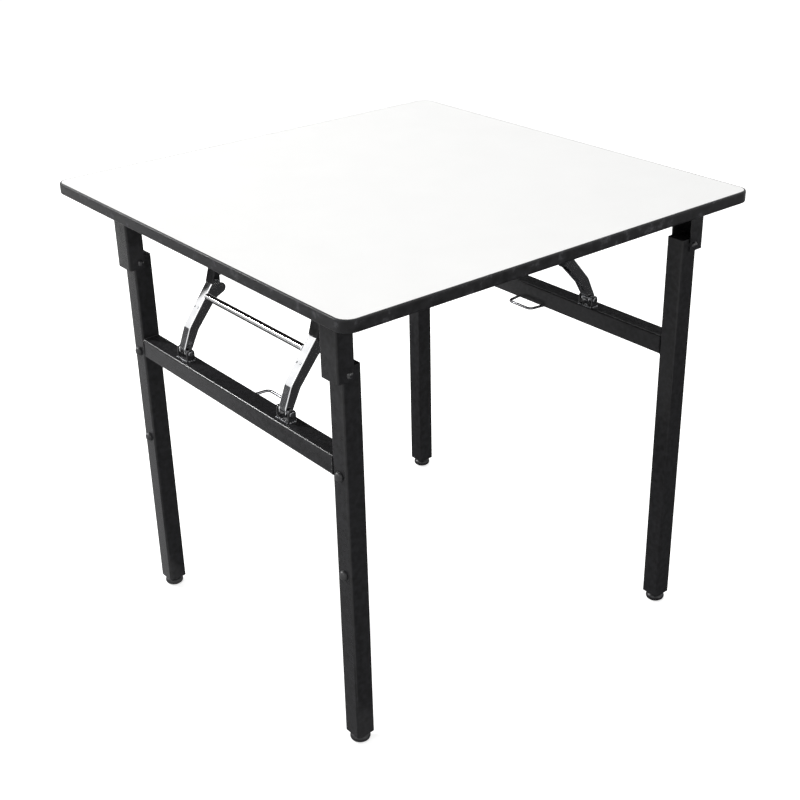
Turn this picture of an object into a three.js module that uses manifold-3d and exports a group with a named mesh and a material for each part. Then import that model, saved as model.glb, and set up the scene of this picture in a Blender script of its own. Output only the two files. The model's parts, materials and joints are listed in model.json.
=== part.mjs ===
// Square folding table. Millimetres, +Z up, origin on the floor below the centre of the top.
// Side A is the frame at -X, which folds under the frame of side B at +X.
import * as THREE from "three";
import { mergeVertices } from "three/addons/utils/BufferGeometryUtils.js";
import Module from "manifold-3d";

const wasm = await Module();
wasm.setup();

// Whole table
const tableHeight = 735;
const topSize = 762;
const seatGap = 0.3; // Left between pieces that rest on each other

// Table top: a board between two thin sheets, with a band round its edge
const topThickness = 18;
const topCornerRadius = 22;
const bandThickness = 3;
const bandEdgeRadius = 2.6;
const sheetThickness = 1;

// Square tube of the legs and crossbars
const tubeWidth = 28.5;
const tubeWall = 1.5;
const tubeEdgeRadius = 3;

// Leg frames. Drops are measured down from the underside or from the pivot line.
const pivotEdgeInset = 69; // From the top's edge to the pivot line
const legInset = 6; // The leg's axis lies this far inward of its pivot
const legTopRise = 10;
const pivotDropA = 102.5;
const pivotDropB = 65;
const legEdgeInsetA = 106.5; // From the top's edge to the middle of the leg
const legEdgeInsetB = 64.5;
const crossbarDropA = 145.25;
const crossbarDropB = 172;

// Leg brackets: channels that hang from a base plate
const channelClearance = 2.25; // Between the leg and each wall of its channel
const channelWall = 2.5;
const channelDepth = 26;
const channelWebGap = 7.25; // Between the leg and the channel's web
const channelBelowPivot = 9.5;
const basePlateOverhang = 22;
const screwHoleRadius = 2.4;
const screwHoleEdge = 9; // From the end of a base plate to its screws
const screwHolePitch = 13;

// Pivot bolts: headed at both ends, with a collar on each side of the leg
const boltRadius = 4;
const boltHeadRadius = 5.5;
const boltHeadHeight = 2.4;
const collarRadius = 8.5;
const runningClearance = 0.35; // Round every pin and bolt that something turns on

// Feet: a square plug in the leg's end, a neck and a domed glide
const footHeight = 16;
const plugLength = 22;
const neckRadius = 11.5;
const neckHeight = 4;
const glideRadius = 15.5;
const glideSoleRadius = 9;
const neckFillet = 1;
const glideShares = [[0.85, 0.14], [1, 0.45], [0.98, 0.75]]; // Of its radius and of its dome's height

// Rubber bumpers on the outer faces of side A's legs
const bumperRadius = 7.5;
const bumperHeight = 6;
const bumperStemRadius = 2.4;
const bumperStemLength = 3.4;
const bumperDrops = [155.5, 314.5];
const bumperShares = [[1, 0], [0.96, 0.35], [0.75, 0.75], [0.4, 0.96]]; // Of its radius and height

// Braces: a doglegged channel arm and a doglegged channel link, hinged at the elbow
const braceSpacing = 276;
const pinRadius = 3;
const pinHeadRadius = 5;
const pinHeadHeight = 2;
const headShares = [[1, 0], [0.75, 0.7]]; // Of a head's radius and height
const footPinRise = 13.5; // Above the crossbar
const footPinInsetA = 6; // Inward of the leg's pivot line
const footPinInsetB = 12;
const braceShiftA = 10; // The pair's middle lies this far to +Y of the table's
const braceShiftB = 4;
const armWidth = 17;
const armWall = 1.5;
const armEndRadius = 6.5;
const armElbow = [68, 91]; // From the foot pin, inward and up
const armBend = [6.5, 41];
const armTop = [51.5, 101];
const armInnerBend = [21.5, 33.5];
const armInnerTop = [57, 76.5];
const armWebStart = 7.5; // The web stops this far above the foot pin
const elbowEyeRadius = 8.5;
const elbowBushRadius = 4;
const linkWall = 1.5;
const linkSideGap = 0.4; // Between the arm and each wall of the link
const linkElbow = [-58, -114]; // From the top pin
const linkWebEnd = [-74, -103];
const linkBend = [-65.5, -74];
const linkInnerBend = [-49, -81];
const linkEndRadius = 8.5;
const linkLobeRadius = 9.5;
// Corners round the elbow, as shares of the lobe's radius
const linkToeShares = [[-0.75, -0.6], [0.5, 0], [0.35, 0.85]];
const linkRelief = 22; // The flange on the tie rod's side ends this far above the elbow, clear of the rod
const rivetHeadRadius = 5.5;
const rivetHeadHeight = 2;
const tieRodRadius = 5;
const tieRodSeat = [42, 83]; // From the foot pin
const earThickness = 2;
const footEarRadius = 7;
const footSpacerRadius = 4.5;
const footSpacerLength = 3.9;
const topPinDropA = 15; // Below the underside
const topPinDropB = 13;
const topEarRadius = 8.5;
const topEarGap = 1;
const topPlateOverhang = 17;

// Wire loops below the crossbars
const wireRadius = 2.25;
const loopRootWidth = 64;
const loopTipWidth = 52;
const loopCornerRadius = 8;
const loopRootReach = 20; // How far the loop's ends run under the crossbar
const loopReachA = 57; // From the crossbar's inner face to the middle of the tip wire
const loopReachB = 21;

const undersideHeight = tableHeight - topThickness;
const pivotReach = topSize / 2 - pivotEdgeInset;
const endArcShare = 0.98; // Of an end's radius, so that its two arcs stay apart
const round = 10; // Facets round a pin
const screwHoleFacets = 8;
const headFacets = 8;
const bumperFacets = 12;
const glideFacets = 16;
const wireSteps = 3;
const wireStepShare = 0.8; // Of the corner radius, for each length of wire
const cornerSteps = 2;
const endSteps = 3; // For the rounded end of an ear or a link
const topSteps = 5; // For the corners of the top

const colours = {
  laminate: { color: 0xf4f4f1, roughness: 0.35, metalness: 0 },
  board: { color: 0xb48a5c, roughness: 0.8, metalness: 0 },
  backing: { color: 0x6a4a30, roughness: 0.7, metalness: 0 },
  band: { color: 0x303032, roughness: 0.5, metalness: 0 },
  blackPaint: { color: 0x2c2c2e, roughness: 0.55, metalness: 0.1 },
  zinc: { color: 0xc4c4c4, roughness: 0.25, metalness: 1 },
  steel: { color: 0x8c8c8c, roughness: 0.4, metalness: 1 },
  plastic: { color: 0x4a4a4c, roughness: 0.4, metalness: 0 },
  rubber: { color: 0x1c1c1c, roughness: 0.8, metalness: 0 },
};

// Turns a closed geometry into a solid that can be joined and cut
function solid(geometry) {
  const bare = geometry.clone();
  for (const name of Object.keys(bare.attributes)) {
    if (name !== "position") bare.deleteAttribute(name);
  }
  const merged = mergeVertices(bare, 1e-4);
  return new wasm.Manifold(
    new wasm.Mesh({
      numProp: 3,
      vertProperties: merged.attributes.position.array,
      triVerts: new Uint32Array(merged.index.array),
    }),
  );
}

function geometryOf(manifold) {
  const mesh = manifold.getMesh();
  const geometry = new THREE.BufferGeometry();
  geometry.setAttribute("position", new THREE.BufferAttribute(mesh.vertProperties, mesh.numProp));
  geometry.setIndex(new THREE.BufferAttribute(mesh.triVerts, 1));
  geometry.computeVertexNormals();
  return geometry;
}

const join = (geometries) => geometryOf(geometries.map(solid).reduce((all, next) => all.add(next)));

function cut(geometry, tools) {
  return geometryOf(tools.map(solid).reduce((left, tool) => left.subtract(tool), solid(geometry)));
}

// A closed outline through corners given as [x, y, radius]
function roundedShape(corners) {
  const shape = new THREE.Shape();
  corners.forEach(([x, y, radius], i) => {
    const here = new THREE.Vector2(x, y);
    const before = new THREE.Vector2(...corners.at(i - 1).slice(0, 2)).sub(here).normalize();
    const after = new THREE.Vector2(...corners[(i + 1) % corners.length].slice(0, 2)).sub(here).normalize();
    if (!radius) {
      if (i) shape.lineTo(x, y);
      else shape.moveTo(x, y);
      return;
    }
    const half = Math.acos(THREE.MathUtils.clamp(before.dot(after), -1, 1)) / 2;
    const start = before.clone().multiplyScalar(radius / Math.tan(half)).add(here);
    const end = after.clone().multiplyScalar(radius / Math.tan(half)).add(here);
    const centre = before.clone().add(after).setLength(radius / Math.sin(half)).add(here);
    const from = Math.atan2(start.y - centre.y, start.x - centre.x);
    const to = Math.atan2(end.y - centre.y, end.x - centre.x);
    if (i) shape.lineTo(start.x, start.y);
    else shape.moveTo(start.x, start.y);
    shape.absarc(centre.x, centre.y, radius, from, to, before.cross(after) > 0);
  });
  shape.closePath();
  return shape;
}

function rectangle(width, depth, radius) {
  const x = width / 2;
  const y = depth / 2;
  return roundedShape([[-x, -y, radius], [x, -y, radius], [x, y, radius], [-x, y, radius]]);
}

// A strip of sheet whose outer face follows the points, thickened to the right of their direction
function ribbon(points, thickness) {
  const path = points.map(([x, y]) => new THREE.Vector2(x, y));
  const sides = path.slice(1).map((p, i) => {
    const run = p.clone().sub(path[i]).normalize();
    return new THREE.Vector2(run.y, -run.x);
  });
  const inner = path.map((p, i) => {
    const a = sides[Math.max(i - 1, 0)];
    const b = sides[Math.min(i, sides.length - 1)];
    const mitre = a.clone().add(b).normalize();
    return mitre.multiplyScalar(thickness / mitre.dot(a)).add(p);
  });
  return new THREE.Shape([...path, ...inner.reverse()]);
}

const slab = (shape, height, steps = cornerSteps) =>
  new THREE.ExtrudeGeometry(shape, { depth: height, bevelEnabled: false, curveSegments: steps });

// A plate whose outline lies in the XZ plane, from y = start to y = start + width
function uprightPlate(shape, width, start = -width / 2) {
  return slab(shape, width, endSteps).rotateX(Math.PI / 2).translate(0, start + width, 0);
}

// A round bar along Y between two places
function bar(radius, from, to, x = 0, z = 0, facets = round) {
  return new THREE.CylinderGeometry(radius, radius, to - from, facets).translate(x, (from + to) / 2, z);
}

const holeOf = (radius) => radius + runningClearance;

// A profile of [radius, height] points, spun about Y
function turned(profile, facets) {
  return new THREE.LatheGeometry(profile.map(([r, y]) => new THREE.Vector2(r, y)), facets);
}

// A domed head along Y that rests on y = face and points to +Y or -Y
function domedHead(radius, height, face, way, x = 0, z = 0) {
  const dome = turned([
    [0, -height / 2],
    [radius, -height / 2],
    ...headShares.map(([r, y]) => [radius * r, height * y]),
    [0, height],
  ], headFacets);
  return dome.rotateX(way > 0 ? 0 : Math.PI).translate(x, face + way * height / 2, z);
}

function screwHole(depth) {
  return bar(screwHoleRadius, -depth, depth, 0, 0, screwHoleFacets).rotateX(Math.PI / 2);
}

// A square tube that stands on z = 0
function squareTube(length) {
  const outline = rectangle(tubeWidth, tubeWidth, tubeEdgeRadius);
  const bore = tubeWidth - 2 * tubeWall;
  outline.holes.push(rectangle(bore, bore, tubeEdgeRadius - tubeWall));
  return slab(outline, length);
}

function legGeometry(length, pivotRise, bumperRises) {
  const bolt = bar(holeOf(boltRadius), -tubeWidth, tubeWidth, -legInset, pivotRise);
  const stems = bumperRises.map((rise) =>
    new THREE.CylinderGeometry(bumperStemRadius + seatGap, bumperStemRadius + seatGap, tubeWidth, round)
      .rotateZ(Math.PI / 2)
      .translate(-tubeWidth / 2, 0, rise));
  return cut(squareTube(length), [bolt, ...stems]);
}

const crossbarGeometry = (length) => squareTube(length).rotateX(-Math.PI / 2).translate(0, -length / 2, 0);

function footGeometry() {
  const plugWidth = tubeWidth - 2 * tubeWall - 2 * seatGap;
  const domeTop = footHeight - neckHeight;
  const glide = turned([
    [0, 0],
    [glideSoleRadius, 0],
    ...glideShares.map(([r, z]) => [glideRadius * r, domeTop * z]),
    [neckRadius + neckFillet, domeTop],
    [neckRadius, domeTop + neckFillet],
    [neckRadius, footHeight],
    [0, footHeight],
  ], glideFacets).rotateX(Math.PI / 2);
  const plug = slab(rectangle(plugWidth, plugWidth, tubeEdgeRadius - tubeWall), plugLength);
  return join([glide, plug.translate(0, 0, footHeight - seatGap)]);
}

// A bumper whose flat side lies on the YZ plane, with its stem pointing to +X
function bumperGeometry() {
  return turned([
    [0, -bumperStemLength],
    [bumperStemRadius, -bumperStemLength],
    [bumperStemRadius, 0],
    ...bumperShares.map(([r, z]) => [bumperRadius * r, bumperHeight * z]),
    [0, bumperHeight],
  ], bumperFacets).rotateZ(Math.PI / 2);
}

const channelInner = tubeWidth + 2 * channelClearance;
const channelOuter = channelInner + 2 * channelWall;
const channelWebOuter = legInset - tubeWidth / 2 - channelWebGap - channelWall;

// A leg bracket, measured from the pivot: the channel opens inward
function legBracketGeometry(pivotDrop) {
  const back = channelWebOuter;
  const front = back + channelDepth;
  const out = channelOuter / 2;
  const inn = channelInner / 2;
  const bend = channelWall;
  const section = roundedShape([
    [back, -out, bend],
    [front, -out, 0],
    [front, -inn, 0],
    [back + channelWall, -inn, 0],
    [back + channelWall, inn, 0],
    [front, inn, 0],
    [front, out, 0],
    [back, out, bend],
  ]);
  const top = pivotDrop - seatGap;
  const channel = slab(section, top + channelBelowPivot).translate(0, 0, -channelBelowPivot);
  const plateLength = channelOuter + 2 * basePlateOverhang;
  const middle = (back + front) / 2;
  const plate = slab(rectangle(channelDepth, plateLength, channelWall * 2), channelWall);
  const holes = [-1, 1].flatMap((end) =>
    [-1, 1].map((side) =>
      screwHole(topThickness)
        .translate(middle + side * screwHolePitch / 2, end * (plateLength / 2 - screwHoleEdge), top)));
  const whole = join([channel, plate.translate(middle, 0, top - channelWall)]);
  return cut(whole, [...holes, bar(holeOf(boltRadius), -channelOuter, channelOuter)]);
}

// A bolt along Y, with collars that keep the leg in the middle of its channel
function pivotBoltGeometry() {
  const face = channelOuter / 2 + seatGap;
  const collarOut = channelInner / 2 - seatGap;
  const collarIn = tubeWidth / 2 + seatGap;
  return join([
    bar(boltRadius, -face, face),
    domedHead(boltHeadRadius, boltHeadHeight, -face, -1),
    domedHead(boltHeadRadius, boltHeadHeight, face, 1),
    bar(collarRadius, -collarOut, -collarIn),
    bar(collarRadius, collarIn, collarOut),
  ]);
}

// An ear that stands on z = 0, rounded about its pin
function earShape(radius, rise) {
  const shape = new THREE.Shape();
  shape.moveTo(-radius, 0);
  shape.lineTo(radius, 0);
  shape.lineTo(radius, rise);
  shape.absarc(0, rise, radius, 0, Math.PI, false);
  shape.closePath();
  return shape;
}

const footEarInner = armWidth + 2 * (footSpacerLength + 2 * seatGap);
const footEarOuter = footEarInner + 2 * earThickness;
const linkInner = armWidth + 2 * linkSideGap;
const linkOuter = linkInner + 2 * linkWall;
const topEarInner = linkOuter + 2 * topEarGap;
const topEarOuter = topEarInner + 2 * earThickness;

// A small U bracket: a base with two ears, standing on z = 0
function earBracketGeometry(radius, rise, inner, overhang) {
  const outer = inner + 2 * earThickness;
  const ears = [-outer / 2, inner / 2].map((y) => uprightPlate(earShape(radius, rise), earThickness, y));
  const length = outer + 2 * overhang;
  const base = slab(rectangle(2 * radius, length, earThickness), earThickness);
  const screws = overhang ? [-1, 1] : [];
  const holes = screws.map((end) =>
    screwHole(rise).translate(0, end * (length / 2 - screwHoleEdge), 0));
  return cut(join([base, ...ears]), [...holes, bar(holeOf(pinRadius), -outer, outer, 0, rise)]);
}

// A headed pin along Y through two ears, with spacers beside the piece that it carries
function pinGeometry(earOuter, earInner, carried, spacerRadius) {
  const face = earOuter / 2 + seatGap;
  const spacerOut = earInner / 2 - seatGap;
  const spacerIn = carried / 2 + seatGap;
  const pieces = [
    bar(pinRadius, -face, face),
    domedHead(pinHeadRadius, pinHeadHeight, -face, -1),
    domedHead(pinHeadRadius, pinHeadHeight, face, 1),
  ];
  if (spacerRadius) {
    pieces.push(bar(spacerRadius, -spacerOut, -spacerIn), bar(spacerRadius, spacerIn, spacerOut));
  }
  return join(pieces);
}

// The arm, measured from its foot pin
function armGeometry() {
  const r = armEndRadius;
  const outline = roundedShape([
    [-r, -r, r * endArcShare],
    [r, -r, r * endArcShare],
    [r, r / 2, 0],
    [...armInnerBend, 0],
    [...armInnerTop, 0],
    [armElbow[0] + elbowEyeRadius / 2, armElbow[1] - elbowEyeRadius / 2, 0],
    [armElbow[0], armElbow[1] + elbowEyeRadius / 2, 0],
    [...armTop, 0],
    [...armBend, 0],
    [-r, armWebStart, 0],
  ]);
  const flanges = [-armWidth / 2, armWidth / 2 - armWall].flatMap((y) => [
    uprightPlate(outline, armWall, y),
    bar(elbowEyeRadius, y, y + armWall, ...armElbow),
  ]);
  const web = uprightPlate(ribbon([[-r, armWebStart], armBend, armTop], armWall), armWidth);
  const bush = bar(elbowBushRadius, -armWidth / 2, armWidth / 2, ...armElbow);
  return cut(join([...flanges, web, bush]), [bar(holeOf(pinRadius), -armWidth, armWidth)]);
}

// The link, measured from its top pin. Its flange on the tie rod's side stops above the elbow.
function linkGeometry(rodSide) {
  const r = linkEndRadius;
  const run = new THREE.Vector2(-linkBend[0], -linkBend[1]).normalize();
  const outer = [-run.y * r, run.x * r];
  const [elbowX, elbowZ] = linkElbow;
  const outline = roundedShape([
    [...linkWebEnd, 0],
    ...linkToeShares.map(([x, z]) => [elbowX + linkLobeRadius * x, elbowZ + linkLobeRadius * z, 0]),
    [...linkInnerBend, 0],
    [run.x * r - outer[0], run.y * r - outer[1], r * endArcShare],
    [run.x * r + outer[0], run.y * r + outer[1], r * endArcShare],
    [...linkBend, 0],
  ]);
  const webTop = [outer[0] - run.x * r, outer[1] - run.y * r];
  const face = linkOuter / 2;
  const near = Math.min(rodSide * face, rodSide * (face - linkWall));
  const far = -near - linkWall;
  const reliefSize = 2 * linkRelief;
  const relief = new THREE.BoxGeometry(2 * reliefSize, 2 * linkWall, reliefSize)
    .translate(elbowX, near + linkWall / 2, elbowZ);
  const whole = join([
    cut(uprightPlate(outline, linkWall, near), [relief]),
    uprightPlate(outline, linkWall, far),
    bar(linkLobeRadius, far, far + linkWall, ...linkElbow),
    domedHead(rivetHeadRadius, rivetHeadHeight, -rodSide * face, -rodSide, ...linkElbow),
    uprightPlate(ribbon([linkWebEnd, linkBend, webTop], linkWall), linkOuter),
  ]);
  return cut(whole, [bar(holeOf(pinRadius), -linkOuter, linkOuter)]);
}

// A wire loop in the XY plane, measured from the crossbar's inner face, with its tip at +X
function wireLoopGeometry(reach) {
  const root = new THREE.Vector3(-loopRootReach, loopRootWidth / 2, 0);
  const corner = new THREE.Vector3(reach, loopTipWidth / 2, 0);
  const back = root.clone().sub(corner).setLength(loopCornerRadius).add(corner);
  const across = new THREE.Vector3(reach, loopTipWidth / 2 - loopCornerRadius, 0);
  const flip = (p) => new THREE.Vector3(p.x, -p.y, 0);
  const path = new THREE.CurvePath();
  path.add(new THREE.LineCurve3(root, back));
  path.add(new THREE.QuadraticBezierCurve3(back, corner, across));
  path.add(new THREE.LineCurve3(across, flip(across)));
  path.add(new THREE.QuadraticBezierCurve3(flip(across), flip(corner), flip(back)));
  path.add(new THREE.LineCurve3(flip(back), flip(root)));
  const section = new THREE.Shape().absarc(0, 0, wireRadius, 0, 2 * Math.PI, false);
  const steps = Math.round(path.getLength() / (loopCornerRadius * wireStepShare));
  return new THREE.ExtrudeGeometry(section, { steps, extrudePath: path, curveSegments: wireSteps });
}

function add(group, name, geometry, look, x = 0, y = 0, z = 0) {
  const mesh = new THREE.Mesh(geometry, new THREE.MeshStandardMaterial(colours[look]));
  mesh.name = name;
  mesh.position.set(x, y, z);
  group.add(mesh);
  return mesh;
}

function tableTop() {
  const top = new THREE.Group();
  const inside = topSize - 2 * bandThickness;
  const flat = topSize - 2 * bandEdgeRadius;
  const full = new THREE.ExtrudeGeometry(rectangle(flat, flat, topCornerRadius - bandEdgeRadius), {
    depth: topThickness - 2 * bandEdgeRadius,
    bevelThickness: bandEdgeRadius,
    bevelSize: bandEdgeRadius,
    bevelSegments: cornerSteps,
    curveSegments: topSteps,
  }).translate(0, 0, bandEdgeRadius);
  const core = slab(rectangle(inside, inside, topCornerRadius - bandThickness), 3 * topThickness, topSteps);
  const band = cut(full, [core.translate(0, 0, -topThickness)]);
  const sheetSize = inside - 2 * seatGap;
  const sheet = rectangle(sheetSize, sheetSize, topCornerRadius - bandThickness - seatGap);
  const boardThickness = topThickness - 2 * (sheetThickness + seatGap);
  const layer = (height) => slab(sheet, height, topSteps);
  add(top, "edge_band", band, "band", 0, 0, undersideHeight);
  add(top, "backing_sheet", layer(sheetThickness), "backing", 0, 0, undersideHeight);
  add(top, "top_board", layer(boardThickness), "board", 0, 0, undersideHeight + sheetThickness + seatGap);
  add(top, "top_laminate", layer(sheetThickness), "laminate", 0, 0, tableHeight - sheetThickness);
  return top;
}

// Turns a point of the XZ plane from +Z towards +X
function lean([x, z], angle) {
  return [x * Math.cos(angle) + z * Math.sin(angle), z * Math.cos(angle) - x * Math.sin(angle)];
}

// One frame with all that belongs to it. Its group has the pivot line as its origin and +X inward.
function frame(side) {
  const group = new THREE.Group();
  group.position.set(-side.facing * pivotReach, 0, undersideHeight - side.pivotDrop);
  group.rotation.z = side.facing > 0 ? 0 : Math.PI;
  const pivotHeight = undersideHeight - side.pivotDrop;
  const legLength = pivotHeight - footHeight + legTopRise;
  const barTop = tubeWidth / 2 - side.crossbarDrop;
  const outerFace = legInset - tubeWidth / 2;
  const legSpacing = topSize - 2 * side.legEdgeInset;
  const pivotRise = legLength - legTopRise;
  const leg = legGeometry(legLength, pivotRise, side.bumperDrops.map((drop) => pivotRise - drop));
  const bracket = legBracketGeometry(side.pivotDrop);
  const tag = side.tag;

  for (const [corner, end] of [[side.corners[0], 1], [side.corners[1], -1]]) {
    const y = end * legSpacing / 2;
    add(group, "leg_bracket_" + corner, bracket, "blackPaint", 0, y);
    add(group, "pivot_bolt_" + corner, pivotBoltGeometry(), "blackPaint", 0, y);
    add(group, "leg_" + corner, leg, "blackPaint", legInset, y, footHeight - pivotHeight);
    add(group, "foot_" + corner, footGeometry(), "plastic", legInset, y, -pivotHeight);
    side.bumperDrops.forEach((drop, i) => {
      const name = "bumper_" + corner + "_" + ["upper", "lower"][i];
      add(group, name, bumperGeometry(), "rubber", outerFace - seatGap, y, -drop);
    });
  }
  const barLength = legSpacing - tubeWidth - 2 * seatGap;
  add(group, "crossbar_" + tag, crossbarGeometry(barLength), "blackPaint", legInset, 0, -side.crossbarDrop);
  const loopZ = -side.crossbarDrop - tubeWidth / 2 - seatGap - wireRadius;
  const innerFace = legInset + tubeWidth / 2;
  add(group, "wire_loop_" + tag, wireLoopGeometry(side.loopReach), "zinc", innerFace, 0, loopZ);

  // The locked brace leans until its top pin reaches its height
  const foot = [side.footPinInset, barTop + footPinRise];
  const pinZ = side.pivotDrop - side.topPinDrop;
  const span = [armElbow[0] - linkElbow[0], armElbow[1] - linkElbow[1]];
  const angle = Math.atan2(span[1], span[0]) - Math.asin((pinZ - foot[1]) / Math.hypot(...span));
  const pinX = foot[0] + lean(span, angle)[0];

  for (const [number, end] of [[1, 1], [2, -1]]) {
    const y = side.facing * side.braceShift + end * braceSpacing / 2;
    const suffix = tag + "_" + number;
    const footBracket = earBracketGeometry(footEarRadius, footPinRise - seatGap, footEarInner, 0);
    add(group, "foot_bracket_" + suffix, footBracket, "blackPaint", foot[0], y, barTop + seatGap);
    const footPin = pinGeometry(footEarOuter, footEarInner, armWidth, footSpacerRadius);
    add(group, "foot_pin_" + suffix, footPin, "zinc", foot[0], y, foot[1]);
    add(group, "brace_arm_" + suffix, armGeometry(), "zinc", foot[0], y, foot[1]).rotation.y = angle;
    add(group, "brace_link_" + suffix, linkGeometry(-end), "blackPaint", pinX, y, pinZ).rotation.y = angle;
    const earDrop = side.topPinDrop - seatGap;
    const topBracket = earBracketGeometry(topEarRadius, earDrop, topEarInner, topPlateOverhang);
    add(group, "top_bracket_" + suffix, topBracket, "blackPaint", pinX, y, side.pivotDrop - seatGap)
      .rotation.x = Math.PI;
    const topPin = pinGeometry(topEarOuter, topEarInner, linkOuter);
    add(group, "top_pin_" + suffix, topPin, "steel", pinX, y, pinZ);
  }
  const [rodX, rodZ] = lean(tieRodSeat, angle);
  const rodEnd = braceSpacing / 2 - armWidth / 2 - seatGap;
  const rod = bar(tieRodRadius, -rodEnd, rodEnd, foot[0] + rodX, foot[1] + rodZ);
  add(group, "tie_rod_" + tag, rod, "zinc", 0, side.facing * side.braceShift, 0);
  return group;
}

const sideA = {
  tag: "a",
  facing: 1,
  corners: ["left", "near"],
  pivotDrop: pivotDropA,
  legEdgeInset: legEdgeInsetA,
  crossbarDrop: crossbarDropA,
  bumperDrops,
  footPinInset: footPinInsetA,
  braceShift: braceShiftA,
  topPinDrop: topPinDropA,
  loopReach: loopReachA,
};

const sideB = {
  tag: "b",
  facing: -1,
  corners: ["right", "far"],
  pivotDrop: pivotDropB,
  legEdgeInset: legEdgeInsetB,
  crossbarDrop: crossbarDropB,
  bumperDrops: [],
  footPinInset: footPinInsetB,
  braceShift: braceShiftB,
  topPinDrop: topPinDropB,
  loopReach: loopReachB,
};

const table = new THREE.Group();
table.add(tableTop(), frame(sideA), frame(sideB));

export default table;
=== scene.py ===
import json
import math

import bmesh
import bpy
from mathutils import Matrix, Vector


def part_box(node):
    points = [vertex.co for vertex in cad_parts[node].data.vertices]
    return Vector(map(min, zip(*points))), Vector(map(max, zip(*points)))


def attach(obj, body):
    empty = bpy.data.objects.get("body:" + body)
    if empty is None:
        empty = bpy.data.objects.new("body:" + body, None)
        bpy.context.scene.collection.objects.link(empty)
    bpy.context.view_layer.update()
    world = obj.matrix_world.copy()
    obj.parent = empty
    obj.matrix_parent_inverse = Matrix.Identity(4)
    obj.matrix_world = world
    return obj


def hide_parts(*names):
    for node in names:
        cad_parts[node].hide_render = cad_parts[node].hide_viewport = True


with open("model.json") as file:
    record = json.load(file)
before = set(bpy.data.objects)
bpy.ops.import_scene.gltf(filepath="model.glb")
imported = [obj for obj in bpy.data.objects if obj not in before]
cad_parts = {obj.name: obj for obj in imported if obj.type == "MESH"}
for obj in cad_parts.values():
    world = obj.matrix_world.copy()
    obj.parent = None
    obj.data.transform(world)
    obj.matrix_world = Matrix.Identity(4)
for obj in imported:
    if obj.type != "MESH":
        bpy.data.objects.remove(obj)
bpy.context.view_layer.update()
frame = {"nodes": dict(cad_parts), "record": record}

mm = 0.001
print("frame loaded:", len(frame["nodes"]), "nodes")

# Helpers for nodes, materials and finished pieces

softTurn = math.radians(38)  # edges that turn less than this are shaded smooth


def toLinear(hexCode):
    parts = [int(hexCode[i:i + 2], 16) / 255 for i in (1, 3, 5)]
    return [c / 12.92 if c <= 0.04045 else ((c + 0.055) / 1.055) ** 2.4 for c in parts] + [1.0]


def addNode(tree, kind, settings=None, links=None):
    node = tree.nodes.new(kind)
    for name, value in (settings or {}).items():
        if name == "ramp":  # list of (place, hex colour)
            stops = node.color_ramp.elements
            while len(stops) < len(value):
                stops.new(0.5)
            for stop, (place, colour) in zip(stops, value):
                stop.position = place
                stop.color = toLinear(colour)
        elif name in node.inputs:
            node.inputs[name].default_value = value
        else:
            setattr(node, name, value)
    for name, source in (links or {}).items():
        tree.links.new(source, node.inputs[name])
    return node


def emptyTree(owner):
    owner.use_nodes = True
    owner.node_tree.nodes.clear()
    return owner.node_tree


def startMaterial(name, surface):
    material = bpy.data.materials.new(name)
    tree = emptyTree(material)
    place = addNode(tree, "ShaderNodeTexCoord").outputs["Object"]
    shader = addNode(tree, "ShaderNodeBsdfPrincipled", surface)
    addNode(tree, "ShaderNodeOutputMaterial", links={"Surface": shader.outputs["BSDF"]})
    return material, tree, place, shader


def meshObject(name, bm, material):
    mesh = bpy.data.meshes.new(name)
    bm.to_mesh(mesh)
    bm.free()
    mesh.materials.append(material)
    made = bpy.data.objects.new(name, mesh)
    bpy.context.scene.collection.objects.link(made)
    return made


def finishPiece(name, bm, material, body, replaces=()):
    piece = meshObject(name, bm, material)
    for face in piece.data.polygons:
        face.use_smooth = True
    piece.data.set_sharp_from_angle(angle=softTurn)
    flatten = piece.modifiers.new("weighted", "WEIGHTED_NORMAL")  # keeps broad faces flat beside round edges
    flatten.keep_sharp = True
    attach(piece, body)
    if replaces:
        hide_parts(*replaces)
    return piece


# Helpers for shapes

sharpTurn = math.radians(60)  # edges that turn more than this are cut rims
rimSteps = 2  # of the small rounding that a cut rim gets
mostly = 0.9  # a direction with this share along an axis counts as along it
halfway = 0.5
hardly = 0.1
samePlace = 0.02 * mm  # points closer than this stand at the same place


def centreOf(node):
    low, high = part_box(node)
    return (Vector(low) + Vector(high)) / 2


def addBlock(bm, size, middle):
    corners = bmesh.ops.create_cube(bm, size=1)["verts"]
    bmesh.ops.scale(bm, vec=size, verts=corners)
    bmesh.ops.translate(bm, vec=middle, verts=corners)
    return corners


def drawOut(bm, outline, move):
    face = bm.faces.new([bm.verts.new(corner) for corner in outline])
    made = bmesh.ops.extrude_face_region(bm, geom=[face])["geom"]
    bmesh.ops.translate(bm, vec=move, verts=[g for g in made if isinstance(g, bmesh.types.BMVert)])


def roundEdges(bm, edges, width, steps, clamp=False):  # width in mm
    bmesh.ops.bevel(bm, geom=edges, offset=width * mm, offset_type="OFFSET", affect="EDGES", segments=steps,
                    profile=0.5, material=-1, clamp_overlap=clamp)


def sharpEdges(bm):
    return [e for e in bm.edges if e.calc_face_angle(0) > sharpTurn]


def uprightEdges(edges):
    return [e for e in edges if abs(e.verts[0].co.z - e.verts[1].co.z) > mm]


# Camera, at the photograph's place and angle

cameraView = {
    "place": (-1.2350, -1.5656, 1.3596),
    "turnDegrees": (63.506, 1.2045, -38.911),
    "lens": 60.466,
    "sensor": 36,
    "farthest": 100,  # metres
}

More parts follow.
